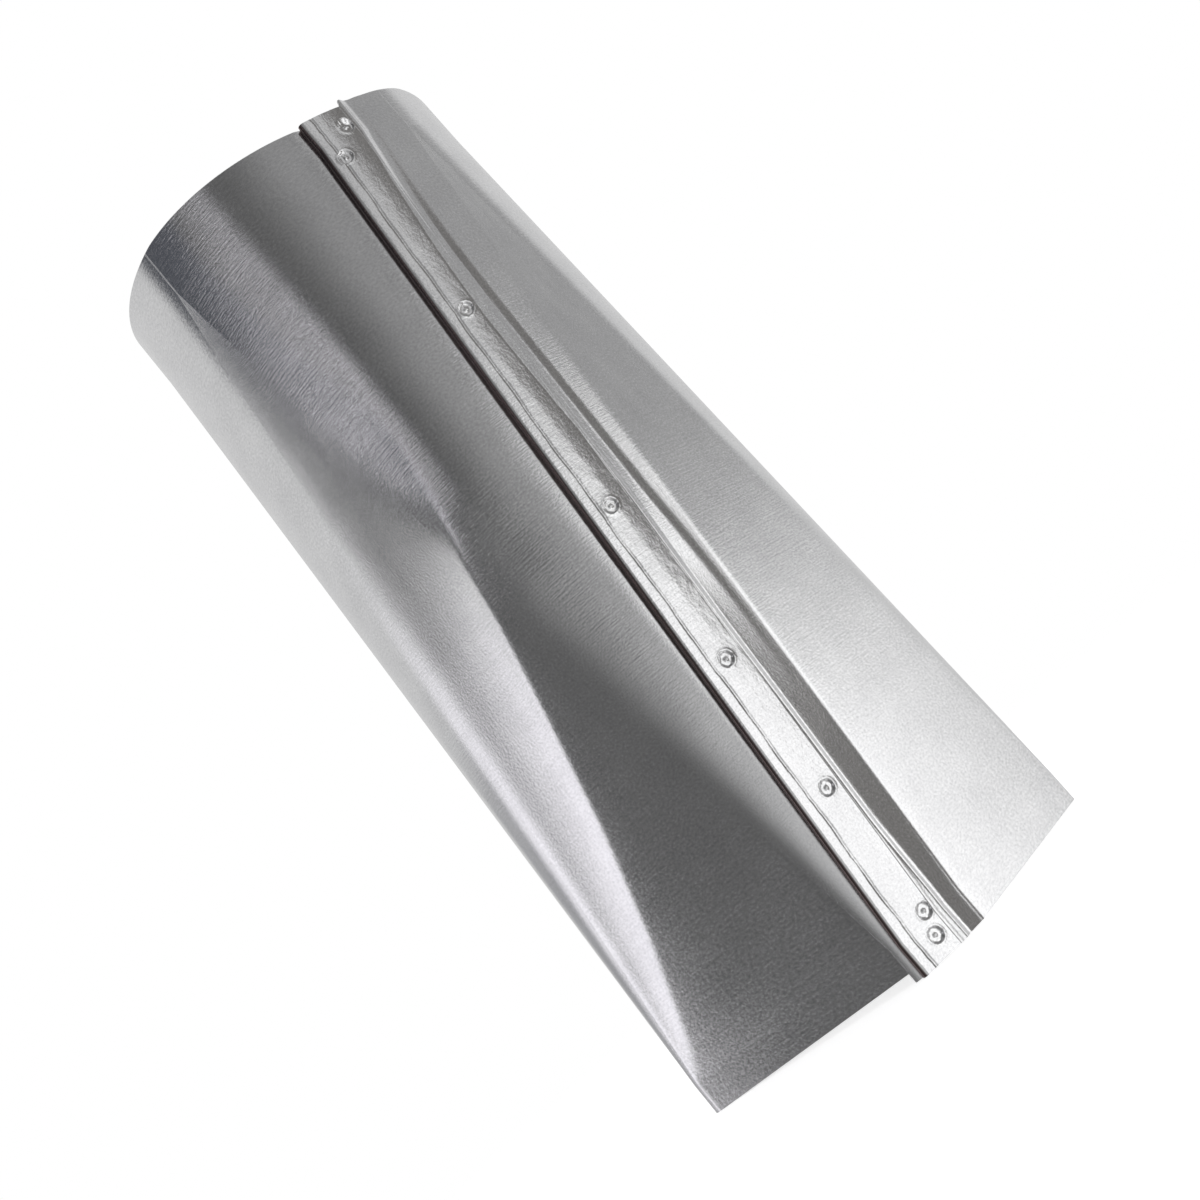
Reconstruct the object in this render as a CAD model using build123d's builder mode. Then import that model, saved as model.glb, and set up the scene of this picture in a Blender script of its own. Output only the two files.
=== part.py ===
from build123d import *
from math import atan2, cos, degrees, pi, radians, sin, tan
import os

# Square downpipe reducer: one sheet of galvanised steel, cut as a fan-shaped blank, rolled and folded
# from a square end (down, at Z = 0) to a round end (up), and closed by a grooved lock seam that is
# punched with clinch marks. The seam runs from one corner of the square to the round end.

# Overall sizes, millimetres
round_diameter = 100.0
square_side = 84.0
length = 245.0
sheet_thickness = 0.6
round_collar_length = 14.0
square_collar_length = 8.0
corner_bend_radius = 2.5

# Lock seam: a raised strip of four sheet layers, and the pressed band beside it
seam_width = 11.6
layer_gap = 0.15
hook_clearance = 0.5
joggle_width = 1.6
joggle_foot_height = 1.2
pressed_band_width = 10.2
pressed_band_foot_width = 6.8
seam_fold_angle = 60.0
pressed_band_azimuth = -5.5

# Hand-trimmed ends, measured from the end planes
left_rim_drop = 5.3
strip_rim_drop = 5.6
right_rim_drop = 3.8
left_foot_rise = 2.3

# How far the rim's slopes reach from the seam, as shares of the round end's radius
left_rim_slope_share = 0.88
right_rim_slope_share = 0.6

# Clinch marks: how far along, and the share of the strip's width. Those at the round end are measured
# down from it, those at the square end up from it, and those between are shares of the length.
rim_clinches = [(11.3, 0.81), (18.6, 0.37)]
side_clinches = [(0.727, 0.535), (0.491, 0.545), (0.316, 0.595), (0.173, 0.7)]
foot_clinches = [(10.0, 0.81), (4.8, 0.69)]
clinch_diameter = 3.6
clinch_depth = 0.55
clinch_pip_diameter = 0.9
clinch_pip_height = 0.25
clinch_shoulder = 0.2

# The round end's four quarter arcs meet the four flats in arcs of this half angle
flat_tip_angle = 0.3
trim_margin = 3.0
straight_tolerance = 1e-5

layer_pitch = sheet_thickness + layer_gap
mid_radius = (round_diameter - sheet_thickness) / 2
mid_half_side = (square_side - sheet_thickness) / 2
strip_rise = 3 * layer_pitch
hook_radius = layer_pitch
hook_reach = hook_radius + sheet_thickness / 2
left_fold_tangent = corner_bend_radius * tan(radians(seam_fold_angle) / 2)
right_fold_tangent = corner_bend_radius * tan(radians(90 - seam_fold_angle) / 2)
strip_foot_across = seam_width + joggle_width
right_fold_across = strip_foot_across + pressed_band_foot_width
seam_corner_setback = right_fold_across * cos(radians(seam_fold_angle))
round_band_width = strip_foot_across + pressed_band_width
seam_round_azimuth = pressed_band_azimuth - degrees(round_band_width / mid_radius)
clinch_places = [
    *[(length - depth, share) for depth, share in rim_clinches],
    *[(length * height_share, share) for height_share, share in side_clinches],
    *foot_clinches,
]


def square_band(across, rise):
    """A point of the seam on the square section: across the strip, and outward from the left sheet."""
    turn = radians(seam_fold_angle)
    start = Vector(mid_half_side - seam_corner_setback, -mid_half_side)
    return start + Vector(cos(turn), sin(turn)) * across + Vector(sin(turn), -cos(turn)) * rise


def round_band(across, rise):
    """The same point of the seam on the round section."""
    azimuth = radians(seam_round_azimuth) + across / mid_radius
    return Vector(cos(azimuth), sin(azimuth)) * (mid_radius + rise)


def straight(start, end):
    return (start, (start + end) / 2, end)


def along_band(band, first, last, rise):
    return (band(first, rise), band((first + last) / 2, rise), band(last, rise))


def round_arc(first, last):
    """An arc of the round section between two azimuths in degrees."""
    azimuths = [radians(first), radians((first + last) / 2), radians(last)]
    return tuple(Vector(cos(azimuth), sin(azimuth)) * mid_radius for azimuth in azimuths)


def bend(start, corner, end):
    """A round bend that leaves start and reaches end with both tangents through corner."""
    chord_middle = (start + end) / 2
    half_turn = (pi - radians((start - corner).get_angle(end - corner))) / 2
    sagitta = (end - start).length / 2 * tan(half_turn / 2)
    return (start, chord_middle + (corner - chord_middle).normalized() * sagitta, end)


def left_hook(band, last):
    """The left sheet's edge, folded back over itself under the strip."""
    turn_back = seam_width - hook_clearance - hook_reach
    tip = 2 * hook_reach
    return [
        along_band(band, tip, turn_back, 2 * layer_pitch),
        (band(turn_back, 2 * layer_pitch), band(turn_back + hook_radius, layer_pitch), band(turn_back, 0)),
        along_band(band, turn_back, last, 0),
    ]


def right_hook(band, band_end):
    """The right sheet's pressed band, joggle, strip, and edge folded under the strip."""
    foot = band(strip_foot_across, joggle_foot_height)
    tip = seam_width - hook_clearance - 2 * hook_reach
    return [
        straight(band_end, foot),
        straight(foot, band(seam_width, strip_rise)),
        along_band(band, seam_width, hook_reach, strip_rise),
        (
            band(hook_reach, strip_rise),
            band(hook_reach - hook_radius, 2 * layer_pitch),
            band(hook_reach, layer_pitch),
        ),
        along_band(band, hook_reach, tip, layer_pitch),
    ]


def square_path():
    """The sheet's middle line at the square end, from the left hook round to the right hook."""
    side = mid_half_side
    inset = side - corner_bend_radius
    left_fold = square_band(0, 0)
    right_fold = square_band(right_fold_across, 0)
    left_start = left_fold - Vector(left_fold_tangent, 0)
    right_start = right_fold + Vector(0, right_fold_tangent)
    band_end = square_band(right_fold_across - right_fold_tangent, 0)
    path = left_hook(square_band, left_fold_tangent)
    path.append(bend(square_band(left_fold_tangent, 0), left_fold, left_start))
    here = left_start
    for corner, before, after in [
        (Vector(-side, -side), Vector(-inset, -side), Vector(-side, -inset)),
        (Vector(-side, side), Vector(-side, inset), Vector(-inset, side)),
        (Vector(side, side), Vector(inset, side), Vector(side, inset)),
    ]:
        path.append(straight(here, before))
        path.append(bend(before, corner, after))
        here = after
    path.append(straight(here, right_start))
    path.append(bend(right_start, right_fold, band_end))
    return path + right_hook(square_band, band_end)


def round_path():
    """The sheet's middle line at the round end, run for run like the square one."""
    path = left_hook(round_band, left_fold_tangent)
    here = seam_round_azimuth + degrees(left_fold_tangent / mid_radius)
    for flat in (-90, -180, -270, -360):
        path.append(round_arc(here, flat + flat_tip_angle))
        path.append(round_arc(flat + flat_tip_angle, flat - flat_tip_angle))
        here = flat - flat_tip_angle
    path.append(round_arc(here, pressed_band_azimuth - 360))
    return path + right_hook(round_band, round_band(round_band_width, 0))


def heading(start, end):
    return atan2(end.Y - start.Y, end.X - start.X)


def end_headings(run):
    """Headings of a run at its start and end; its middle point makes it a line or a round arc."""
    start, middle, end = run
    chord = heading(start, end)
    bow = (heading(start, middle) - chord + pi) % (2 * pi) - pi
    return chord + 2 * bow, chord - 2 * bow


def face_of_sheet(path, distance):
    """The path moved sideways to one face of the sheet, with mitred corners."""
    headings = [end_headings(run) for run in path]
    corners = []
    for index in range(len(path) + 1):
        before = headings[max(index - 1, 0)][1 if index > 0 else 0]
        after = headings[min(index, len(path) - 1)][0 if index < len(path) else 1]
        point = path[index][0] if index < len(path) else path[-1][2]
        half_turn = ((after - before + pi) % (2 * pi) - pi) / 2
        side = before + half_turn + pi / 2
        corners.append(point + Vector(cos(side), sin(side)) * (distance / cos(half_turn)))
    runs = []
    for index, (start, middle, end) in enumerate(path):
        side = heading(start, end) + pi / 2
        runs.append((corners[index], middle + Vector(cos(side), sin(side)) * distance, corners[index + 1]))
    return runs


def run_edge(run, height):
    """A run of the outline as an edge at a height: a line where its middle lies on the chord."""
    start, middle, end = [point + Vector(0, 0, height) for point in run]
    chord = end - start
    bow = (middle - start).cross(chord).length / chord.length
    if bow < straight_tolerance:
        return Edge.make_line(start, end)
    return Edge.make_three_point_arc(start, middle, end)


def sheet_outline(path, height):
    """The sheet's section at a height: inner face, a raw edge, outer face, and the other raw edge."""
    inner = face_of_sheet(path, -sheet_thickness / 2)
    outer_forward = face_of_sheet(path, sheet_thickness / 2)
    outer = [(end, middle, start) for start, middle, end in reversed(outer_forward)]
    raw_edges = [straight(inner[-1][2], outer[0][0]), straight(outer[-1][2], inner[0][0])]
    return [run_edge(run, height) for run in [*inner, raw_edges[0], *outer, raw_edges[1]]]


def seam_point(across, rise, height):
    """A point of the seam at a height, on the ruled surface between the two collars."""
    ruled_length = length - round_collar_length - square_collar_length
    share = min(max((height - square_collar_length) / ruled_length, 0), 1)
    low = square_band(across, rise)
    point = low + (round_band(across, rise) - low) * share
    return Vector(point.X, point.Y, height)


def clinch_plane(height, across):
    """The plane of a clinch mark: on the strip's outer face, facing outward."""
    rise = strip_rise + sheet_thickness / 2
    step = sheet_thickness
    sideways = seam_point(across + step, rise, height) - seam_point(across - step, rise, height)
    upward = seam_point(across, rise, height + step) - seam_point(across, rise, height - step)
    return Plane(seam_point(across, rise, height), x_dir=sideways, z_dir=sideways.cross(upward))


def folded_sheet():
    """The sheet, run by run: straight collars at both ends, ruled faces between, and two end faces."""
    square_section = square_path()
    round_section = round_path()
    square_foot = sheet_outline(square_section, 0)
    square_top = sheet_outline(square_section, square_collar_length)
    round_foot = sheet_outline(round_section, length - round_collar_length)
    round_top = sheet_outline(round_section, length)
    faces = [Face(Wire(square_foot)), Face(Wire(round_top))]
    faces += [Face.extrude(edge, (0, 0, square_collar_length)) for edge in square_foot]
    faces += [Face.make_surface_from_curves(low, high) for low, high in zip(square_top, round_foot)]
    faces += [Face.extrude(edge, (0, 0, round_collar_length)) for edge in round_foot]
    return Solid(Shell(faces))


def rim_trim_outline():
    """The trim of the round end, seen square on to the seam: the rim falls towards the strip."""
    half_strip = (mid_radius + strip_rise) * sin(seam_width / 2 / mid_radius)
    left_end = -mid_radius * left_rim_slope_share
    right_end = mid_radius * right_rim_slope_share
    return [
        (left_end, length),
        (-half_strip, length - left_rim_drop),
        (-half_strip, length - strip_rim_drop),
        (half_strip, length - strip_rim_drop),
        (half_strip, length - right_rim_drop),
        (right_end, length),
        (right_end, length + trim_margin),
        (left_end, length + trim_margin),
    ]


def foot_trim_outline():
    """The trim of the square end's left face, which rises towards the seam."""
    far_end = corner_bend_radius - mid_half_side
    seam_end = mid_half_side - seam_corner_setback - left_fold_tangent
    return [(far_end, 0), (seam_end, left_foot_rise), (seam_end, -trim_margin), (far_end, -trim_margin)]


seam_azimuth = radians(seam_round_azimuth) + seam_width / 2 / mid_radius
seam_plane = Plane(
    (0, 0, 0),
    x_dir=(-sin(seam_azimuth), cos(seam_azimuth), 0),
    z_dir=(cos(seam_azimuth), sin(seam_azimuth), 0),
)
left_face_plane = Plane.XZ.offset(mid_half_side - corner_bend_radius)

with BuildPart() as reducer_body:
    add(folded_sheet())

    # Clinch marks: the layers are driven together, with a round recess and a centre pip outside
    for height, width_share in clinch_places:
        mark = clinch_plane(height, seam_width * width_share)
        with BuildSketch(mark.offset(-sheet_thickness / 2)):
            Circle(clinch_diameter / 2 + clinch_shoulder)
        extrude(amount=-strip_rise)
        with BuildSketch(mark.offset(sheet_thickness / 2)):
            Circle(clinch_diameter / 2)
        extrude(amount=-sheet_thickness / 2 - clinch_depth, mode=Mode.SUBTRACT)
        with BuildSketch(mark.offset(-clinch_depth)):
            Circle(clinch_pip_diameter / 2)
        extrude(amount=clinch_pip_height)

    # Trimmed ends
    with BuildSketch(seam_plane):
        with BuildLine():
            Polyline(*rim_trim_outline(), close=True)
        make_face()
    extrude(amount=round_diameter / 2 + strip_rise + trim_margin, mode=Mode.SUBTRACT)
    with BuildSketch(left_face_plane):
        with BuildLine():
            Polyline(*foot_trim_outline(), close=True)
        make_face()
    extrude(amount=corner_bend_radius + trim_margin, mode=Mode.SUBTRACT)

reducer_body.part.label = "reducer_body"
os.makedirs("parts", exist_ok=True)
export_step(reducer_body.part, "parts/reducer_body.step")
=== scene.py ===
from math import cos, pi, radians, sin, tan

import bpy
import numpy as np
from mathutils import Matrix, Vector


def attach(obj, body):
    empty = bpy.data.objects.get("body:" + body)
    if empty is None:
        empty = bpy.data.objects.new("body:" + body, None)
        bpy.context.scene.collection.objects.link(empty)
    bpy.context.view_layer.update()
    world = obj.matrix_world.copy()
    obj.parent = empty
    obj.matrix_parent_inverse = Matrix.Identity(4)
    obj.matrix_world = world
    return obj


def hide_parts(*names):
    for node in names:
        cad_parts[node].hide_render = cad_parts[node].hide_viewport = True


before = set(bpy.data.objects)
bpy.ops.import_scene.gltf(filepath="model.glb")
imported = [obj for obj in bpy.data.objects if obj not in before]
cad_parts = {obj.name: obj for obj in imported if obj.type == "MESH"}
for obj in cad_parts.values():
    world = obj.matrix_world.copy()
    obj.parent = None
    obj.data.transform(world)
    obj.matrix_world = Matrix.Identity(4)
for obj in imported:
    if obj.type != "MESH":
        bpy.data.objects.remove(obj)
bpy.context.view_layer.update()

# Sizes in millimetres, the same as the CAD model's
MM = 0.001
ROUND_DIAMETER = 100.0
SQUARE_SIDE = 84.0
LENGTH = 245.0
SHEET = 0.6
ROUND_COLLAR = 14.0
SQUARE_COLLAR = 8.0
BEND_RADIUS = 2.5
SEAM_WIDTH = 11.6
LOCK_WIDTH = 9.2
LAYER_PITCH = 0.75
HOOK_CLEARANCE = 0.5
JOGGLE_WIDTH = 1.6
JOGGLE_FOOT_HEIGHT = 1.2
BAND_WIDTH = 10.2
BAND_FOOT_WIDTH = 6.8
FOLD_ANGLE = radians(60)
BAND_AZIMUTH = radians(-5.5)
LEFT_RIM_DROP = 5.3
STRIP_RIM_DROP = 5.6
RIGHT_RIM_DROP = 3.8
LEFT_RIM_SHARE = 0.88
RIGHT_RIM_SHARE = 0.6
LEFT_FOOT_RISE = 2.3
# Clinch marks: height up the seam, and place across the strip
CLINCHES = [
    (233.7, 9.4),
    (226.4, 4.3),
    (178.1, 6.2),
    (120.3, 6.3),
    (77.4, 6.9),
    (42.4, 8.1),
    (10.0, 9.4),
    (4.8, 8.0),
]

MID_RADIUS = (ROUND_DIAMETER - SHEET) / 2
MID_SIDE = (SQUARE_SIDE - SHEET) / 2
STRIP_RISE = 3 * LAYER_PITCH
HOOK_REACH = LAYER_PITCH + SHEET / 2
STRIP_FOOT = SEAM_WIDTH + JOGGLE_WIDTH
RIGHT_FOLD = STRIP_FOOT + BAND_FOOT_WIDTH
SETBACK = RIGHT_FOLD * cos(FOLD_ANGLE)
ROUND_BAND = STRIP_FOOT + BAND_WIDTH
SEAM_AZIMUTH = BAND_AZIMUTH - ROUND_BAND / MID_RADIUS
LEFT_TANGENT = BEND_RADIUS * tan(FOLD_ANGLE / 2)
RIGHT_TANGENT = BEND_RADIUS * tan((pi / 2 - FOLD_ANGLE) / 2)

# Small values that the visual mesh needs
TIP_ANGLE = radians(0.3)
JOGGLE_BEND = 0.45
LEFT_RIM_STEP = 0.05
RIGHT_RIM_STEP = 0.6
HAIR = 0.01
SHARP_ANGLE = radians(38)
UV_UNIT = 100.0


# The sheet's section, as runs that match at both ends

def square_band(across, rise):
    """A point of the seam on the square section: across the strip, and outward from the left sheet."""
    start = np.array([MID_SIDE - SETBACK, -MID_SIDE])
    along = np.array([cos(FOLD_ANGLE), sin(FOLD_ANGLE)])
    outward = np.array([sin(FOLD_ANGLE), -cos(FOLD_ANGLE)])
    return start + along * across + outward * rise


def round_band(across, rise):
    """The same point of the seam on the round section."""
    azimuth = SEAM_AZIMUTH + across / MID_RADIUS
    return np.array([cos(azimuth), sin(azimuth)]) * (MID_RADIUS + rise)


def line(start, end):
    return (start, (start + end) / 2, end)


def band_run(band, first, last, rise):
    return (band(first, rise), band((first + last) / 2, rise), band(last, rise))


def round_arc(first, last):
    azimuths = (first, (first + last) / 2, last)
    return tuple(np.array([cos(azimuth), sin(azimuth)]) * MID_RADIUS for azimuth in azimuths)


def bend(start, corner, end):
    """A round bend from start to end with both tangents through corner."""
    middle = (start + end) / 2
    before = start - corner
    after = end - corner
    cosine = before @ after / np.linalg.norm(before) / np.linalg.norm(after)
    half_turn = (pi - np.arccos(np.clip(cosine, -1, 1))) / 2
    sagitta = np.linalg.norm(end - start) / 2 * tan(half_turn / 2)
    outward = (corner - middle) / np.linalg.norm(corner - middle)
    return (start, middle + outward * sagitta, end)


def toward(point, target, distance):
    step = target - point
    return point + step / np.linalg.norm(step) * distance


def left_hook(band):
    turn_back = LOCK_WIDTH - HOOK_CLEARANCE - HOOK_REACH
    fold = (band(turn_back, 2 * LAYER_PITCH), band(turn_back + LAYER_PITCH, LAYER_PITCH), band(turn_back, 0))
    return [
        band_run(band, 2 * HOOK_REACH, turn_back, 2 * LAYER_PITCH),
        fold,
        band_run(band, turn_back, LEFT_TANGENT, 0),
    ]


def right_hook(band, band_end):
    foot = band(STRIP_FOOT, JOGGLE_FOOT_HEIGHT)
    top = band(SEAM_WIDTH, STRIP_RISE)
    top_start = band(SEAM_WIDTH - JOGGLE_BEND, STRIP_RISE)
    tip = LOCK_WIDTH - HOOK_CLEARANCE - 2 * HOOK_REACH
    foot_bend = bend(toward(foot, band_end, JOGGLE_BEND), foot, toward(foot, top, JOGGLE_BEND))
    top_bend = bend(toward(top, foot, JOGGLE_BEND), top, top_start)
    fold = (
        band(HOOK_REACH, STRIP_RISE),
        band(HOOK_REACH - LAYER_PITCH, 2 * LAYER_PITCH),
        band(HOOK_REACH, LAYER_PITCH),
    )
    return [
        line(band_end, foot_bend[0]),
        foot_bend,
        line(foot_bend[2], top_bend[0]),
        top_bend,
        band_run(band, SEAM_WIDTH - JOGGLE_BEND, HOOK_REACH, STRIP_RISE),
        fold,
        band_run(band, HOOK_REACH, tip, LAYER_PITCH),
    ]


def square_runs():
    side = MID_SIDE
    inset = side - BEND_RADIUS
    left_fold = square_band(0, 0)
    right_fold = square_band(RIGHT_FOLD, 0)
    left_start = left_fold - np.array([LEFT_TANGENT, 0])
    right_start = right_fold + np.array([0, RIGHT_TANGENT])
    band_end = square_band(RIGHT_FOLD - RIGHT_TANGENT, 0)
    runs = left_hook(square_band)
    runs.append(bend(square_band(LEFT_TANGENT, 0), left_fold, left_start))
    here = left_start
    for corner, before, after in [
        ((-side, -side), (-inset, -side), (-side, -inset)),
        ((-side, side), (-side, inset), (-inset, side)),
        ((side, side), (inset, side), (side, inset)),
    ]:
        runs.append(line(here, np.array(before)))
        runs.append(bend(np.array(before), np.array(corner), np.array(after)))
        here = np.array(after)
    runs.append(line(here, right_start))
    runs.append(bend(right_start, right_fold, band_end))
    return runs + right_hook(square_band, band_end)


def round_runs():
    runs = left_hook(round_band)
    here = SEAM_AZIMUTH + LEFT_TANGENT / MID_RADIUS
    for quarter in (1, 2, 3, 4):
        flat = -quarter * pi / 2
        runs.append(round_arc(here, flat + TIP_ANGLE))
        runs.append(round_arc(flat + TIP_ANGLE, flat - TIP_ANGLE))
        here = flat - TIP_ANGLE
    runs.append(round_arc(here, BAND_AZIMUTH - 2 * pi))
    return runs + right_hook(round_band, round_band(ROUND_BAND, 0))


# Steps along each run: left hook, left bend, faces and corners in turn, right bend, right hook
RUN_STEPS = [4, 8, 4, 40, 120, 40, 8, 24, 8, 30, 16, 8, 10, 5, 4, 5, 44, 10, 4]
RUN_STARTS = np.concatenate([[0], np.cumsum(RUN_STEPS)])
# Numbers of the runs that later parts name
LEFT_CONE, LEFT_CORNER, BAND, STRIP = 3, 5, 12, 16


def run_points(run, steps):
    """Points along a run, without its end: a line, or the round arc through its three points."""
    start, middle, end = run
    share = np.arange(steps)[:, None] / steps
    chord = end - start
    across = np.array([-chord[1], chord[0]]) / np.linalg.norm(chord)
    bow = (middle - start) @ across
    if abs(bow) < 1e-6:
        return start + chord * share
    half_chord = np.linalg.norm(chord) / 2
    radius = (half_chord**2 + bow**2) / 2 / bow
    centre = middle - across * radius
    first = np.arctan2(*(start - centre)[::-1])
    sweep = -4 * np.arctan2(bow, half_chord)
    angle = first + sweep * share
    return centre + abs(radius) * np.hstack([np.cos(angle), np.sin(angle)])


def section(runs):
    points = [run_points(run, steps) for run, steps in zip(runs, RUN_STEPS)]
    return np.vstack([*points, runs[-1][2][None, :]])


def face_of_sheet(points, distance):
    """The section moved sideways to one face of the sheet, mitred at its vertices."""
    steps = np.diff(points, axis=0)
    steps /= np.linalg.norm(steps, axis=1)[:, None]
    before = np.vstack([steps[:1], steps])
    after = np.vstack([steps, steps[-1:]])
    side = before + after
    side /= np.linalg.norm(side, axis=1)[:, None]
    stretch = 1 / np.sum(side * after, axis=1)
    return points + np.stack([-side[:, 1], side[:, 0]], axis=1) * (distance * stretch)[:, None]


def rim_height(points):
    """Height of the trimmed round end above points of the round section."""
    middle = SEAM_AZIMUTH + SEAM_WIDTH / 2 / MID_RADIUS
    outward = points @ np.array([cos(middle), sin(middle)])
    sideways = points @ np.array([-sin(middle), cos(middle)])
    half_strip = (MID_RADIUS + STRIP_RISE) * sin(SEAM_WIDTH / 2 / MID_RADIUS)
    places = [
        -MID_RADIUS * LEFT_RIM_SHARE,
        -half_strip - LEFT_RIM_STEP,
        -half_strip,
        half_strip,
        half_strip + RIGHT_RIM_STEP,
        MID_RADIUS * RIGHT_RIM_SHARE,
    ]
    drops = [0, LEFT_RIM_DROP, STRIP_RIM_DROP, STRIP_RIM_DROP, RIGHT_RIM_DROP, 0]
    drop = np.interp(sideways, places, drops, left=0, right=0)
    return LENGTH - np.where(outward > 0, drop, 0)


def foot_height(points):
    """Height of the trimmed square end below points of the square section: only the left face rises."""
    seam_end = MID_SIDE - SETBACK - LEFT_TANGENT
    far_end = BEND_RADIUS - MID_SIDE
    rise = np.interp(points[:, 0], [far_end, seam_end], [0, LEFT_FOOT_RISE])
    on_face = (points[:, 1] < -MID_SIDE + SHEET) & (points[:, 0] <= seam_end + HAIR)
    return np.where(on_face, rise, 0)


def roundness(height):
    """How far the sheet has changed from square to round at a height, from 0 to 1."""
    return np.clip((height - SQUARE_COLLAR) / (LENGTH - ROUND_COLLAR - SQUARE_COLLAR), 0, 1)


def sheet_surface(square_points, round_points, heights):
    """Points of one face of the sheet, as rows up the heights and columns along the section."""
    foot = foot_height(square_points)
    rim = rim_height(round_points)
    collar = LENGTH - ROUND_COLLAR
    rows = []
    for height in heights:
        share = roundness(height)
        flat = square_points * (1 - share) + round_points * share
        level = np.full(len(flat), height)
        if height < SQUARE_COLLAR:
            level = foot + (SQUARE_COLLAR - foot) * height / SQUARE_COLLAR
        if height > collar:
            level = collar + (rim - collar) * (height - collar) / ROUND_COLLAR
        rows.append(np.column_stack([flat, level]))
    return np.array(rows)


# The fold that the maker left on the left sheet, from the corner up across the face. At some heights:
# the crest's distance from the corner's bend, the slope beside the crest, how far that slope lasts, and
# the slope on to the corner
FOLD_HEIGHTS = [0, 8, 18, 43, 68, 93, 118, 143, 168, 193, 218, 245]
FOLD_PLACES = [0, 0, 5.5, 14.5, 21.3, 26.3, 30.8, 33.5, 32.5, 28.5, 24.0, 20.0]
FOLD_CREST_SLOPES = [0.0, 0.04, 0.07, 0.09, 0.1, 0.115, 0.15, 0.18, 0.12, 0.04, 0.0, 0.0]
FOLD_CREST_WIDTHS = [2.0, 2.0, 2.2, 3.0, 3.6, 4.5, 6.0, 7.5, 8.5, 9.0, 9.5, 10.0]
FOLD_SIDE_SLOPES = [0.0, 0.02, 0.04, 0.05, 0.05, 0.05, 0.045, 0.02, 0.0, 0.0, 0.0, 0.0]
# The slope on to the corner eases to the share that is kept, up to where it ends between crest and
# corner; the crest is rounded over its edge, and falls to the plain sheet on the seam's side
FOLD_SIDE_KEPT = 0.4
FOLD_SIDE_END = 0.9
FOLD_SIDE_FADE = 0.5
FOLD_EDGE = 1.3
FOLD_SEAM_SIDE = 45.0
FOLD_LEAST_PLACE = 1.0

# How softly the left sheet's flat runs into its cones, as a share of the cones' radius, and how many of
# these lengths it takes to start from either end of the sheet
EASE_SHARE = 0.2
EASE_ENDS = 3

# The seam as it was dressed by hand: across it at some heights, the strip's crest with its sag, the
# foot of the step beside it, and the groove that ends the pressed band, sunk below the plain band
SEAM_HEIGHTS = [0, 10, 30, 60, 85, 105, 120, 140, 157, 175, 195, 215, 233, 245]
CREST_PLACES = [13.4, 13.2, 11.9, 11.7, 11.4, 11.6, 11.8, 11.2, 10.0, 8.9, 9.2, 10.6, 12.4, 12.8]
CREST_SAGS = [0, 0, 0, 0, 0.05, 0.15, 0.2, 0.2, 0.15, 0.05, 0, 0, 0, 0]
STEP_RISES = [0.85, 0.9, 1.15, 1.2, 1.2, 1.2, 1.15, 1.2, 1.4, 1.65, 1.6, 1.3, 1.1, 1.0]
GROOVE_PLACES = [18, 18, 18, 18.5, 18.8, 17.6, 16.4, 15.4, 14.6, 13.8, 13.2, 13.8, 15.6, 16.4]
GROOVE_DEPTHS = [0, 0, 0, 0, 0.1, 0.25, 0.35, 0.45, 0.5, 0.5, 0.5, 0.4, 0.3, 0.25]
CROWN_WIDTH = 4.0
GROOVE_FAR_WIDTH = 2.2
SEAM_BLUR = 0.35
SEAM_BLUR_REACH = 2
SEAM_BLUR_SAMPLES = 9

# The clinch marks that are punched into the strip
CLINCH_DEPTH = 0.55
CLINCH_FLOOR_RADIUS = 1.45
CLINCH_EDGE_RADIUS = 1.95
CLINCH_REACH = 2.7
CLINCH_BULGE = 0.07
PIP_RADIUS = 0.5
PIP_HEIGHT = 0.32

# The uneven crease beside the strip's lip; its waves are a size, a rate and a start up the height
CREASE_PLACE = 3.4
CREASE_WIDTH = 0.35
CREASE_DEPTH = 0.13
CREASE_WANDER = 0.14
CREASE_WAVES = [(1.0, 0.21, 0.0), (0.6, 0.53, 1.3), (0.4, 1.7, 0.0)]
CREASE_SWELL = (0.2, 0.37, 0.6)

# Rows of the strip's finer mesh: across a clinch mark, along the crease, and the least space between two
CLINCH_ROW_PITCH = 0.25
CREASE_ROW_PITCH = 1.5
CREASE_ROW_END = 1.0
ROW_SPACE = 0.08
RIM_SPACE = 0.1


def smooth(share):
    share = np.clip(share, 0, 1)
    return share * share * (3 - 2 * share)


def fold_offset(rows, heights):
    """How far the sheet stands off its plain surface because of the fold, row by row."""
    corner = RUN_STARTS[LEFT_CORNER]
    seam_side = RUN_STARTS[LEFT_CONE]
    offsets = []
    for row, height in zip(rows, heights):
        place, crest_slope, width, side_slope = (
            np.interp(height, FOLD_HEIGHTS, values)
            for values in (FOLD_PLACES, FOLD_CREST_SLOPES, FOLD_CREST_WIDTHS, FOLD_SIDE_SLOPES)
        )
        steps = np.concatenate([[0], np.linalg.norm(np.diff(row, axis=0), axis=1)])
        along = np.cumsum(steps)
        past = along - along[corner] + place
        ease = smooth((FOLD_SIDE_END - past / max(place, FOLD_LEAST_PLACE)) / FOLD_SIDE_FADE)
        side = side_slope * (FOLD_SIDE_KEPT + (1 - FOLD_SIDE_KEPT) * ease)
        slope = crest_slope * np.exp(-np.clip(past - FOLD_EDGE, 0, None) / width) + side * (past < place)
        drop = np.cumsum(slope * smooth(past / FOLD_EDGE) * steps)
        reach = min(FOLD_SEAM_SIDE, along[corner] - place - along[seam_side])
        offsets.append(drop[-1] * smooth(1 + past / reach) - drop)
    return np.array(offsets)


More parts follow.
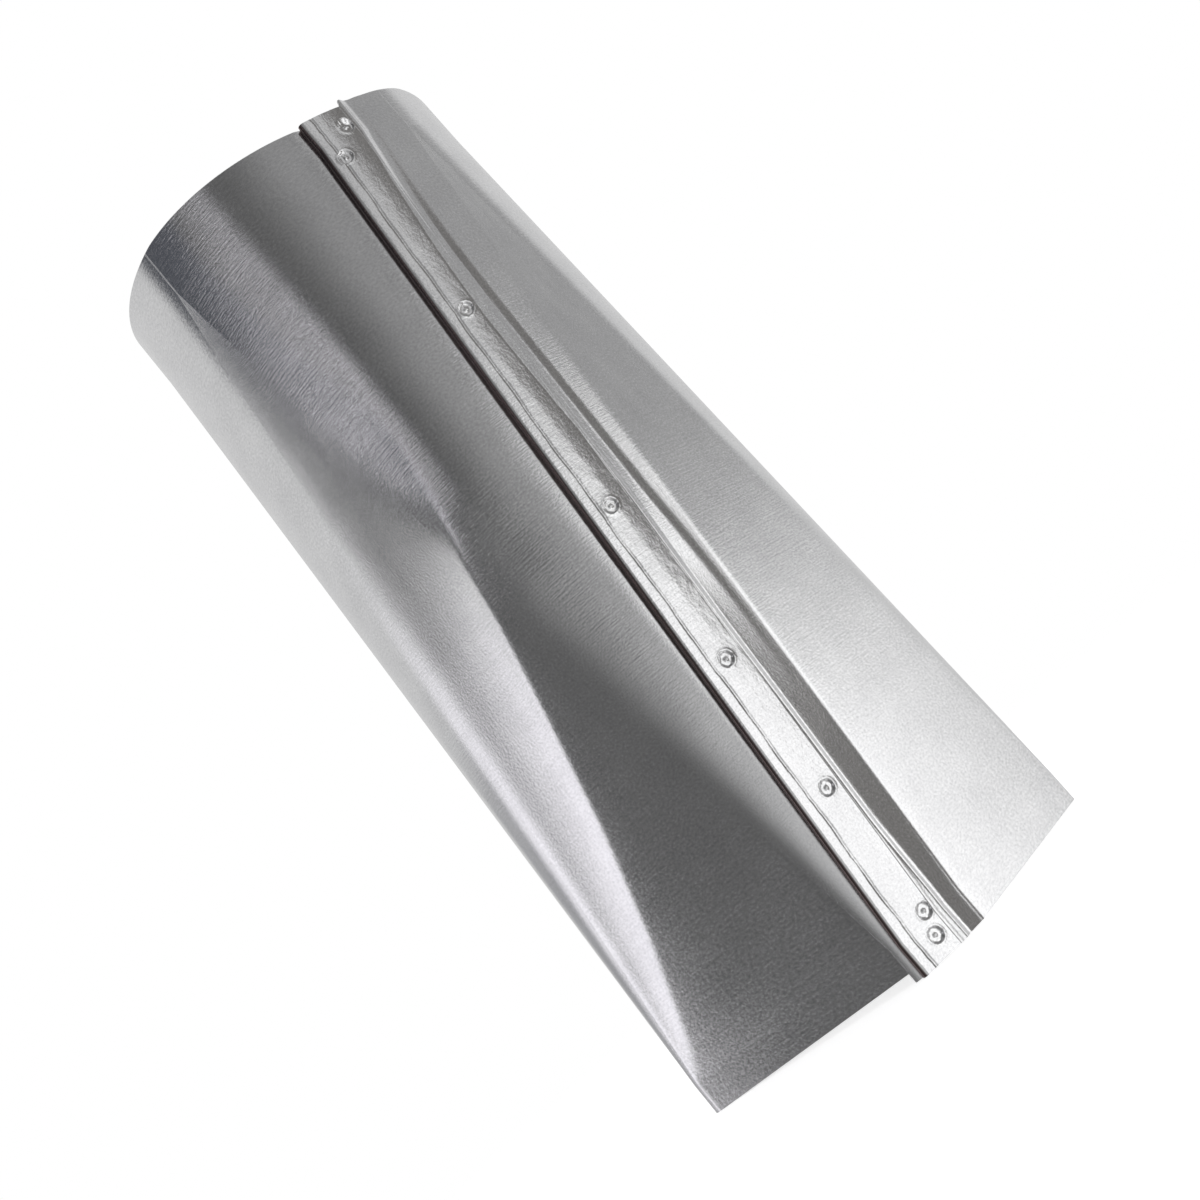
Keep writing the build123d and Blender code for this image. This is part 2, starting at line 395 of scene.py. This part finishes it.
def ease_offset(rows, heights):
    """How far the left sheet moves where its flat is eased into the cones, by smoothing its direction."""
    columns = slice(RUN_STARTS[LEFT_CONE], RUN_STARTS[LEFT_CORNER + 1] + 1)
    offsets = np.zeros(rows.shape)
    for row, height in enumerate(heights):
        share = roundness(height)
        spread = EASE_SHARE * (BEND_RADIUS + (MID_RADIUS - BEND_RADIUS) * share)
        points = rows[row, columns, :2]
        steps = np.diff(points, axis=0)
        lengths = np.linalg.norm(steps, axis=1)
        turn = np.unwrap(np.arctan2(steps[:, 1], steps[:, 0]))
        along = np.cumsum(lengths) - lengths / 2
        weights = np.exp(-(((along[:, None] - along[None, :]) / spread) ** 2) / 2) * lengths[None, :]
        eased = weights @ turn / weights.sum(axis=1)
        inside = smooth(np.minimum(along, lengths.sum() - along) / (EASE_ENDS * spread))
        turn = turn + (eased - turn) * inside
        moved = np.cumsum(np.stack([np.cos(turn), np.sin(turn)], axis=1) * lengths[:, None], axis=0)
        moved = np.vstack([points[:1], points[:1] + moved])
        path = np.concatenate([[0], np.cumsum(lengths)]) / lengths.sum()
        moved -= path[:, None] * (moved[-1] - points[-1])
        offsets[row, columns, :2] = moved - points
    return offsets


def plain_seam(across, band_end):
    """Rise of the seam's middle surface as the CAD model has it: strip, step and pressed band."""
    places = [SEAM_WIDTH, STRIP_FOOT, band_end]
    return np.interp(across, places, [STRIP_RISE, JOGGLE_FOOT_HEIGHT, 0])


def dressed_seam(across, band_end, height):
    """The same rise as it was dressed by hand, at a height."""
    crest, sag, step, groove, depth = (
        np.interp(height, SEAM_HEIGHTS, values)
        for values in (CREST_PLACES, CREST_SAGS, STEP_RISES, GROOVE_PLACES, GROOVE_DEPTHS)
    )
    far = min(groove + GROOVE_FAR_WIDTH, band_end)
    places = [crest - CROWN_WIDTH, crest, crest + JOGGLE_WIDTH, groove, far, band_end + HAIR]
    rises = [
        STRIP_RISE,
        STRIP_RISE - sag,
        step,
        plain_seam(groove, band_end) - depth,
        plain_seam(far, band_end),
        0,
    ]
    return np.interp(across, places, rises)


def seam_offset(square_points, round_points, heights):
    """How far the seam's strip and band stand off the plain surface, row by row."""
    columns = slice(RUN_STARTS[BAND], RUN_STARTS[STRIP + 1] + 1)
    start = square_band(0, 0)
    square_across = (square_points[columns] - start) @ np.array([cos(FOLD_ANGLE), sin(FOLD_ANGLE)])
    azimuths = np.unwrap(np.arctan2(round_points[columns, 1], round_points[columns, 0]))
    round_across = (azimuths - SEAM_AZIMUTH) * MID_RADIUS
    offsets = np.zeros((len(heights), len(square_points)))
    spread = np.linspace(-SEAM_BLUR_REACH, SEAM_BLUR_REACH, SEAM_BLUR_SAMPLES) * SEAM_BLUR
    weights = np.exp(-((spread / SEAM_BLUR) ** 2) / 2)
    for row, height in enumerate(heights):
        share = roundness(height)
        across = square_across * (1 - share) + round_across * share
        band_end = across[0]
        shifted = across[:, None] + spread[None, :]
        change = dressed_seam(shifted, band_end, height) - plain_seam(shifted, band_end)
        fade = smooth((band_end - across) / GROOVE_FAR_WIDTH)
        offsets[row, columns] = change @ weights / weights.sum() * fade
    return offsets


def wave(height, size, rate, start):
    return size * sin(height * rate + start)


def strip_offset(height, across):
    """How far the strip's face stands off its plain surface, from its clinch marks and crease."""
    wander = sum(wave(height, *shape) for shape in CREASE_WAVES)
    place = CREASE_PLACE + CREASE_WANDER * wander
    depth = CREASE_DEPTH * (1 - CREASE_SWELL[0] + wave(height, *CREASE_SWELL))
    offset = -depth * np.exp(-(((across - place) / CREASE_WIDTH) ** 2) * 2)
    for clinch_height, clinch_across in CLINCHES:
        radius = np.hypot(height - clinch_height, across - clinch_across)
        wall = smooth((radius - CLINCH_FLOOR_RADIUS) / (CLINCH_EDGE_RADIUS - CLINCH_FLOOR_RADIUS))
        beyond = smooth((radius - CLINCH_EDGE_RADIUS) / (CLINCH_REACH - CLINCH_EDGE_RADIUS))
        bulge = CLINCH_BULGE * (1 - beyond)
        pip = PIP_HEIGHT * np.clip(1 - (radius / PIP_RADIUS) ** 2, 0, None)
        offset = offset + wall * bulge - CLINCH_DEPTH * (1 - wall) + pip
    return offset


def surface_normals(rows):
    along = np.gradient(rows, axis=1)
    upward = np.gradient(rows, axis=0)
    normals = np.cross(upward, along)
    return normals / np.linalg.norm(normals, axis=2)[:, :, None]


def smooth_normals(rows):
    """Normals of the sheet, with the seam's columns all facing as the strip does."""
    normals = surface_normals(rows)
    strip_middle = (RUN_STARTS[STRIP] + RUN_STARTS[STRIP + 1]) // 2
    normals[:, RUN_STARTS[BAND]:RUN_STARTS[STRIP + 1] + 1] = normals[:, strip_middle:strip_middle + 1]
    return normals


def row_heights():
    """Heights of the sheet's rows: even along the body, and closer at the collars and the ends."""
    square_end = [0, 1.5, 3, 4.5, 6, 7.2, 7.8, SQUARE_COLLAR, 8.2, 8.8]
    body = np.linspace(10, 229, 74)
    round_collar = [230.2, 230.8, LENGTH - ROUND_COLLAR, 231.3, 232.2]
    round_end = [234, 236, 238, 240, 242, 243.6, 244.6, LENGTH]
    return np.concatenate([square_end, body, round_collar, round_end])


def strip_row_heights(heights):
    """The sheet's rows with finer ones added: across each clinch mark, and along the crease."""
    reach = np.arange(-CLINCH_REACH, CLINCH_REACH, CLINCH_ROW_PITCH)
    fine = [clinch_height + reach for clinch_height, _ in CLINCHES]
    fine.append(np.arange(CREASE_ROW_END, LENGTH - CREASE_ROW_END, CREASE_ROW_PITCH))
    fine = np.concatenate(fine)
    clear = np.min(np.abs(fine[:, None] - heights[None, :]), axis=1) > ROW_SPACE
    inside = (fine > RIM_SPACE) & (fine < LENGTH - RIM_SPACE)
    kept = np.sort(fine[clear & inside])
    spaced = [kept[0]]
    for height in kept[1:]:
        if height - spaced[-1] > ROW_SPACE:
            spaced.append(height)
    return np.sort(np.concatenate([heights, spaced]))


def sheet_faces(heights):
    """The outer and inner face of the folded sheet, as grids of points in millimetres."""
    square_points = section(square_runs())
    round_points = section(round_runs())
    middle = sheet_surface(square_points, round_points, heights)
    offset = fold_offset(middle, heights) + seam_offset(square_points, round_points, heights)
    offset = offset[:, :, None] * smooth_normals(middle) + ease_offset(middle, heights)
    faces = []
    for side in (SHEET / 2, -SHEET / 2):
        moved_square = face_of_sheet(square_points, side)
        moved_round = face_of_sheet(round_points, side)
        faces.append(sheet_surface(moved_square, moved_round, heights) + offset)
    return faces


def grid_quads(index):
    """Faces over a grid of vertex numbers, facing out of the sheet's outer side."""
    corners = [index[:-1, :-1], index[1:, :-1], index[1:, 1:], index[:-1, 1:]]
    return np.stack(corners, axis=2).reshape(-1, 4).tolist()


def strip_patch(outer, heights):
    """The strip's outer face in finer rows: its points, their numbers, and which rows are new."""
    first, last = RUN_STARTS[STRIP], RUN_STARTS[STRIP + 1]
    columns = outer.shape[1]
    fine_heights = strip_row_heights(heights)
    fine_outer = sheet_faces(fine_heights)[0]
    normals = surface_normals(fine_outer)
    across = np.linspace(SEAM_WIDTH - JOGGLE_BEND, HOOK_REACH, last - first + 1)
    lift = np.array([strip_offset(height, across) for height in fine_outer[:, (first + last) // 2, 2]])
    lift[:, [0, -1]] = 0
    points = fine_outer[:, first:last + 1] + lift[:, :, None] * normals[:, first:last + 1]
    numbers = np.zeros((len(fine_heights), last - first + 1), int)
    new_rows = ~np.isin(fine_heights, heights)
    numbers[~new_rows] = np.arange(len(heights))[:, None] * columns + np.arange(first, last + 1)
    numbers[new_rows] = np.arange(new_rows.sum() * numbers.shape[1]).reshape(-1, numbers.shape[1])
    return points, numbers, new_rows


def side_polygons(index, numbers, new_rows, column, edge):
    """One column of faces beside the strip, with the strip's extra edge points in them."""
    old_rows = np.flatnonzero(~new_rows)
    polygons = []
    for row, (low, high) in enumerate(zip(old_rows, old_rows[1:])):
        between = numbers[low:high + 1, edge].tolist()
        if edge == 0:
            polygons.append([index[row, column], index[row + 1, column], *between[::-1]])
        else:
            polygons.append([*between, index[row + 1, column + 1], index[row, column + 1]])
    return polygons


def edge_quads(first, second):
    """Faces of the strip of metal between two rows of vertex numbers."""
    return np.stack([first[:-1], first[1:], second[1:], second[:-1]], axis=1).tolist()


def painted_seam_shade():
    """For each column of the sheet, how much painted shade it gets for lying deep in the folded seam, from 0
    to 1.
    """
    shade = np.zeros(RUN_STARTS[-1] + 1)
    shade[:RUN_STARTS[LEFT_CONE]] = 1
    shade[RUN_STARTS[STRIP + 1] + RUN_STEPS[STRIP + 1] // 4:] = 1
    return shade


def sheet_geometry():
    """The sheet's points and faces, each point's column, and the columns' places along the sheet."""
    heights = row_heights()
    outer, inner = sheet_faces(heights)
    rows, columns = outer.shape[:2]
    outer_index = np.arange(rows * columns).reshape(rows, columns)
    inner_index = outer_index + rows * columns
    patch, patch_index, new_rows = strip_patch(outer, heights)
    first, last = RUN_STARTS[STRIP], RUN_STARTS[STRIP + 1]
    outer[:, first:last + 1] = patch[~new_rows]
    patch_index[new_rows] += 2 * rows * columns
    faces = grid_quads(outer_index[:, :first]) + grid_quads(outer_index[:, last + 1:])
    faces += grid_quads(patch_index) + grid_quads(inner_index[:, ::-1])
    faces += side_polygons(outer_index, patch_index, new_rows, first - 1, 0)
    faces += side_polygons(outer_index, patch_index, new_rows, last, -1)
    faces += edge_quads(outer_index[0], inner_index[0])
    faces += edge_quads(inner_index[-1], outer_index[-1])
    faces += edge_quads(inner_index[:, 0], outer_index[:, 0])
    faces += edge_quads(outer_index[:, -1], inner_index[:, -1])
    points = np.concatenate([face.reshape(-1, 3) for face in (outer, inner, patch[new_rows])])
    column_of = np.concatenate([
        np.tile(np.arange(columns), 2 * rows),
        np.tile(np.arange(first, last + 1), int(new_rows.sum())),
    ])
    middle_row = outer[rows // 2]
    along = np.concatenate([[0], np.cumsum(np.linalg.norm(np.diff(middle_row, axis=0), axis=1))])
    return points, faces, column_of, along


def point_attribute(mesh, name, values):
    attribute = mesh.attributes.new(name, "FLOAT", "POINT")
    attribute.data.foreach_set("value", values)


def build_body():
    points, faces, column_of, along = sheet_geometry()
    mesh = bpy.data.meshes.new("reducer_sheet")
    mesh.from_pydata((points * MM).tolist(), [], faces)
    mesh.update()
    uv = mesh.uv_layers.new(name="sheet")
    vertex_of = np.zeros(len(mesh.loops), int)
    mesh.loops.foreach_get("vertex_index", vertex_of)
    flat = np.stack([along[column_of], points[:, 2]], axis=1) / UV_UNIT
    uv.data.foreach_set("uv", flat[vertex_of].ravel())
    on_strip = (column_of >= RUN_STARTS[STRIP]) & (column_of <= RUN_STARTS[STRIP + 1])
    # Painted shade: the seam's folded columns are marked to take a dark colour, where shade falls inside the
    # fold
    point_attribute(mesh, "painted_shade_mask", painted_seam_shade()[column_of])
    point_attribute(mesh, "strip", on_strip.astype(float))
    mesh.shade_smooth()
    mesh.set_sharp_from_angle(angle=SHARP_ANGLE)
    body = bpy.data.objects.new("reducer_sheet", mesh)
    bpy.context.scene.collection.objects.link(body)
    return body


# Materials: small helpers first

def new_node(tree, kind, **settings):
    node = tree.nodes.new(kind)
    for name, value in settings.items():
        setattr(node, name, value)
    return node


def plug(tree, sockets, values):
    """Link each value that is another node's output to its socket, or set it as the socket's own."""
    for socket, value in zip(sockets, values):
        if isinstance(value, bpy.types.NodeSocket):
            tree.links.new(value, socket)
        else:
            socket.default_value = value


def feed(tree, node, **inputs):
    """Plug inputs of a node by name, with spaces written as underscores."""
    sockets = [node.inputs[name.replace("_", " ")] for name in inputs]
    plug(tree, sockets, inputs.values())
    return node


def calculate(tree, operation, *values):
    node = new_node(tree, "ShaderNodeMath", operation=operation)
    plug(tree, node.inputs, values)
    return node.outputs[0]


def remap(tree, value, low, high, to_low=0.0, to_high=1.0, kind="LINEAR"):
    node = new_node(tree, "ShaderNodeMapRange", interpolation_type=kind)
    feed(tree, node, Value=value, From_Min=low, From_Max=high, To_Min=to_low, To_Max=to_high)
    return node.outputs["Result"]


def noise(tree, vector, stretch, detail=2.0, roughness=0.5):
    """Noise on the sheet, with a stretch in cycles per millimetre along the section and up the height."""
    mapping = new_node(tree, "ShaderNodeMapping")
    scale = (stretch[0] * UV_UNIT, stretch[1] * UV_UNIT, 1)
    feed(tree, mapping, Vector=vector, Scale=scale)
    texture = new_node(tree, "ShaderNodeTexNoise")
    feed(tree, texture, Vector=mapping.outputs["Vector"], Scale=1.0, Detail=detail, Roughness=roughness)
    return texture.outputs["Fac"]


def blend_colour(tree, factor, first, second):
    node = new_node(tree, "ShaderNodeMix", data_type="RGBA")
    plug(tree, [socket for socket in node.inputs if socket.enabled], (factor, first, second))
    return next(socket for socket in node.outputs if socket.enabled)


def mix_shaders(tree, factor, first, second):
    node = new_node(tree, "ShaderNodeMixShader")
    plug(tree, node.inputs, (factor, first.outputs[0], second.outputs[0]))
    return node.outputs[0]


def bump(tree, height, distance, strength, normal=None):
    node = new_node(tree, "ShaderNodeBump")
    feed(tree, node, Height=height, Distance=distance * MM, Strength=strength)
    if normal:
        feed(tree, node, Normal=normal)
    return node.outputs["Normal"]


# Galvanised sheet: satin zinc with fine speckle, short strokes across the sheet and soft mottling,
# the hammer's marks on the seam's strip, and painted shade in the folded seam; grains in cycles per
# millimetre, depths in millimetres
SPECKLE_GRAIN = (1.7, 1.7)
STROKE_GRAIN = (0.12, 1.9)
MOTTLE_GRAIN = (0.11, 0.07)
HAMMER_GRAIN = (0.45, 0.3)
FINISH_DEPTH = 0.05
FINISH_STRENGTH = 0.6
HAMMER_DEPTH = 0.15
HAMMER_STRENGTH = 0.5
DARK_ZINC = (0.62, 0.62, 0.63, 1)
PALE_ZINC = (0.88, 0.88, 0.885, 1)
# Painted shade: a dark brown on the seam's hidden layers and fold side, standing in for the shade in the
# fold
PAINTED_SHADE_COLOUR = (0.16, 0.125, 0.12, 1)
SMOOTHEST, ROUGHEST = 0.1, 0.2
SPECKLE_SHARE = 0.7


def galvanised():
    material = bpy.data.materials.new("galvanised")
    material.use_nodes = True
    tree = material.node_tree
    uv = new_node(tree, "ShaderNodeUVMap", uv_map="sheet").outputs["UV"]
    speckle = noise(tree, uv, SPECKLE_GRAIN, detail=3.0, roughness=0.65)
    strokes = noise(tree, uv, STROKE_GRAIN, detail=3.0, roughness=0.65)
    mottle = noise(tree, uv, MOTTLE_GRAIN, detail=4.0, roughness=0.6)
    hammered = noise(tree, uv, HAMMER_GRAIN, detail=3.0, roughness=0.6)
    painted_shade_mask = new_node(tree, "ShaderNodeAttribute", attribute_name="painted_shade_mask").outputs["Fac"]
    strip = new_node(tree, "ShaderNodeAttribute", attribute_name="strip").outputs["Fac"]
    fine_tone = calculate(tree, "MULTIPLY", speckle, SPECKLE_SHARE)
    broad_tone = calculate(tree, "MULTIPLY", mottle, 1 - SPECKLE_SHARE)
    tone = remap(tree, calculate(tree, "ADD", fine_tone, broad_tone), 0.3, 0.7)
    # The seam's folded columns take the painted shade colour over the zinc tone
    colour = blend_colour(tree, painted_shade_mask, blend_colour(tree, tone, DARK_ZINC, PALE_ZINC), PAINTED_SHADE_COLOUR)
    grain = calculate(tree, "ADD", speckle, strokes)
    roughness = remap(tree, grain, 0.7, 1.3, SMOOTHEST, ROUGHEST)
    normal = bump(tree, strokes, FINISH_DEPTH, FINISH_STRENGTH)
    normal = bump(tree, speckle, FINISH_DEPTH, FINISH_STRENGTH, normal)
    marks = calculate(tree, "MULTIPLY", hammered, strip)
    normal = bump(tree, marks, HAMMER_DEPTH, HAMMER_STRENGTH, normal)
    shader = tree.nodes["Principled BSDF"]
    feed(tree, shader, Base_Color=colour, Metallic=1.0, Roughness=roughness, Normal=normal)
    return material


body = build_body()
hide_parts("reducer_body")
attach(body, "root")
body.data.materials.append(galvanised())


# Studio: soft light boxes and dark flags far round the object, which the metal sees; white behind it.
# Each has its azimuths from and to with their softness, its elevations from and to with a softness for
# each, its lean, its brightness and its tint; a later one covers those before it
BASE_LEVEL = 0.7
PANEL_TOP_LEVEL = 1.5
PANELS = {
    "dark flag before the left face": ((-137, -10, 3), (-60, 90, 6, 6), 0, 0.13, (1, 1, 1)),
    "grey above the seam": ((-40, -10, 60), (6, 90, 8, 6), 0, 0.4, (1, 1, 1)),
    "slate flag high on the left": ((-141, -104, 6), (22, 90, 6, 6), 0, 0.1, (0.92, 0.97, 1.12)),
    "leaning strip light": ((-126, -76, 10), (14.5, 18, 2, 5), 0.22, 1.2, (1, 0.98, 1.03)),
    "grey low in front": ((-75, -10, 90), (-60, 8, 6, 10), 0, 0.65, (1, 1, 1)),
    "box low before the seam": ((-20, 6, 16), (-60, 12, 6, 12), 0, 1.3, (1, 1, 1)),
    "dark flag beside the seam": ((6, 35, 7), (-60, 90, 7, 7), 0, 0.2, (1.03, 1, 0.97)),
    "grey high on the right": ((35, 68, 6), (6, 90, 8, 6), 0, 0.38, (1, 1, 1)),
    "box low on the right": ((35, 59, 4), (-60, 16, 6, 5), -0.75, 1.4, (1, 1, 1)),
    "grey low on the far left": ((-195, -151, 6), (-60, 8, 6, 6), 0, 0.42, (1, 1, 1.03)),
    "strip light low on the left": ((-152, -139, 5), (-60, 10, 6, 8), 0, 1.2, (1, 0.98, 1.03)),
}
# The azimuth behind the object where the count of degrees starts again
AZIMUTH_CUT = 155


def world_angles(tree):
    """Azimuth and elevation of the direction looked in, in degrees."""
    direction = new_node(tree, "ShaderNodeTexCoord").outputs["Generated"]
    parts = feed(tree, new_node(tree, "ShaderNodeSeparateXYZ"), Vector=direction).outputs
    degrees = calculate(tree, "DEGREES", calculate(tree, "ARCTAN2", parts["Y"], parts["X"]))
    past_cut = calculate(tree, "GREATER_THAN", degrees, AZIMUTH_CUT)
    azimuth = calculate(tree, "MULTIPLY_ADD", past_cut, -360.0, degrees)
    elevation = calculate(tree, "DEGREES", calculate(tree, "ARCSINE", parts["Z"]))
    return azimuth, elevation


def panel_colour(level, tint=(1, 1, 1)):
    return tuple(level / PANEL_TOP_LEVEL * share for share in tint) + (1,)


def studio_world():
    world = bpy.data.worlds.new("studio")
    world.use_nodes = True
    tree = world.node_tree
    azimuth, elevation = world_angles(tree)
    colour = panel_colour(BASE_LEVEL)
    for (left, right, side_soft), (low, high, low_soft, high_soft), lean, level, tint in PANELS.values():
        beside = calculate(tree, "SUBTRACT", azimuth, left)
        leaned = calculate(tree, "MULTIPLY_ADD", beside, -lean, elevation)
        cover = 1.0
        for value, edge, soft in (
            (azimuth, left, side_soft),
            (azimuth, right, -side_soft),
            (leaned, low, low_soft),
            (leaned, high, -high_soft),
        ):
            step = remap(tree, value, edge - soft / 2, edge + soft / 2, kind="SMOOTHSTEP")
            cover = calculate(tree, "MULTIPLY", cover, step)
        colour = blend_colour(tree, cover, colour, panel_colour(level, tint))
    panels = feed(tree, tree.nodes["Background"], Color=colour, Strength=PANEL_TOP_LEVEL)
    backdrop = feed(tree, new_node(tree, "ShaderNodeBackground"), Color=(1, 1, 1, 1), Strength=1.0)
    path = new_node(tree, "ShaderNodeLightPath").outputs
    surface = mix_shaders(tree, path["Is Camera Ray"], panels, backdrop)
    feed(tree, tree.nodes["World Output"], Surface=surface)
    bpy.context.scene.world = world


studio_world()
bpy.context.scene.view_settings.view_transform = "Standard"


# Floor: a pale disc that fades out into the white, and lets the metal see the studio behind it
FLOOR_RADIUS = 0.9
FLOOR_FADE_START = 0.1
FLOOR_FADE_END = 0.45
FLOOR_COLOUR = (0.93, 0.93, 0.93, 1)
FLOOR_GLOW = 0.75


def floor_material():
    material = bpy.data.materials.new("floor")
    material.use_nodes = True
    tree = material.node_tree
    path = new_node(tree, "ShaderNodeLightPath").outputs
    glow = calculate(tree, "MULTIPLY", path["Is Camera Ray"], FLOOR_GLOW)
    shader = feed(tree, tree.nodes["Principled BSDF"], Base_Color=FLOOR_COLOUR, Roughness=0.9)
    feed(tree, shader, Emission_Color=(1, 1, 1, 1), Emission_Strength=glow)
    place = new_node(tree, "ShaderNodeTexCoord").outputs["Object"]
    reach = feed(tree, new_node(tree, "ShaderNodeVectorMath", operation="LENGTH"), Vector=place)
    fade = remap(tree, reach.outputs["Value"], FLOOR_FADE_START, FLOOR_FADE_END, kind="SMOOTHSTEP")
    see_through = calculate(tree, "MAXIMUM", fade, path["Is Glossy Ray"])
    surface = mix_shaders(tree, see_through, shader, new_node(tree, "ShaderNodeBsdfTransparent"))
    feed(tree, tree.nodes["Material Output"], Surface=surface)
    return material


bpy.ops.mesh.primitive_circle_add(vertices=96, radius=FLOOR_RADIUS, fill_type="NGON", location=(0, 0, 0))
floor = bpy.context.object
floor.name = "floor"
floor.data.materials.append(floor_material())


# Camera, from the photograph's perspective: the frame's axes, the place in metres, and the lens
CAMERA_RIGHT = Vector((0.5427, 0.5468, -0.6376))
CAMERA_DOWN = Vector((-0.5905, -0.2915, -0.7526))
CAMERA_FORWARD = Vector((-0.5974, 0.7849, 0.1647))
CAMERA_PLACE = Vector((0.2291, -0.3011, 0.0506))
SENSOR_WIDTH = 36
LENS = 45.08
camera_data = bpy.data.cameras.new("camera")
camera_data.sensor_width = SENSOR_WIDTH
camera_data.lens = LENS
camera_data.clip_start = 0.01
camera = bpy.data.objects.new("camera", camera_data)
bpy.context.scene.collection.objects.link(camera)
turn = Matrix([CAMERA_RIGHT, -CAMERA_DOWN, -CAMERA_FORWARD]).transposed()
camera.matrix_world = Matrix.Translation(CAMERA_PLACE) @ turn.to_4x4()
bpy.context.scene.camera = camera
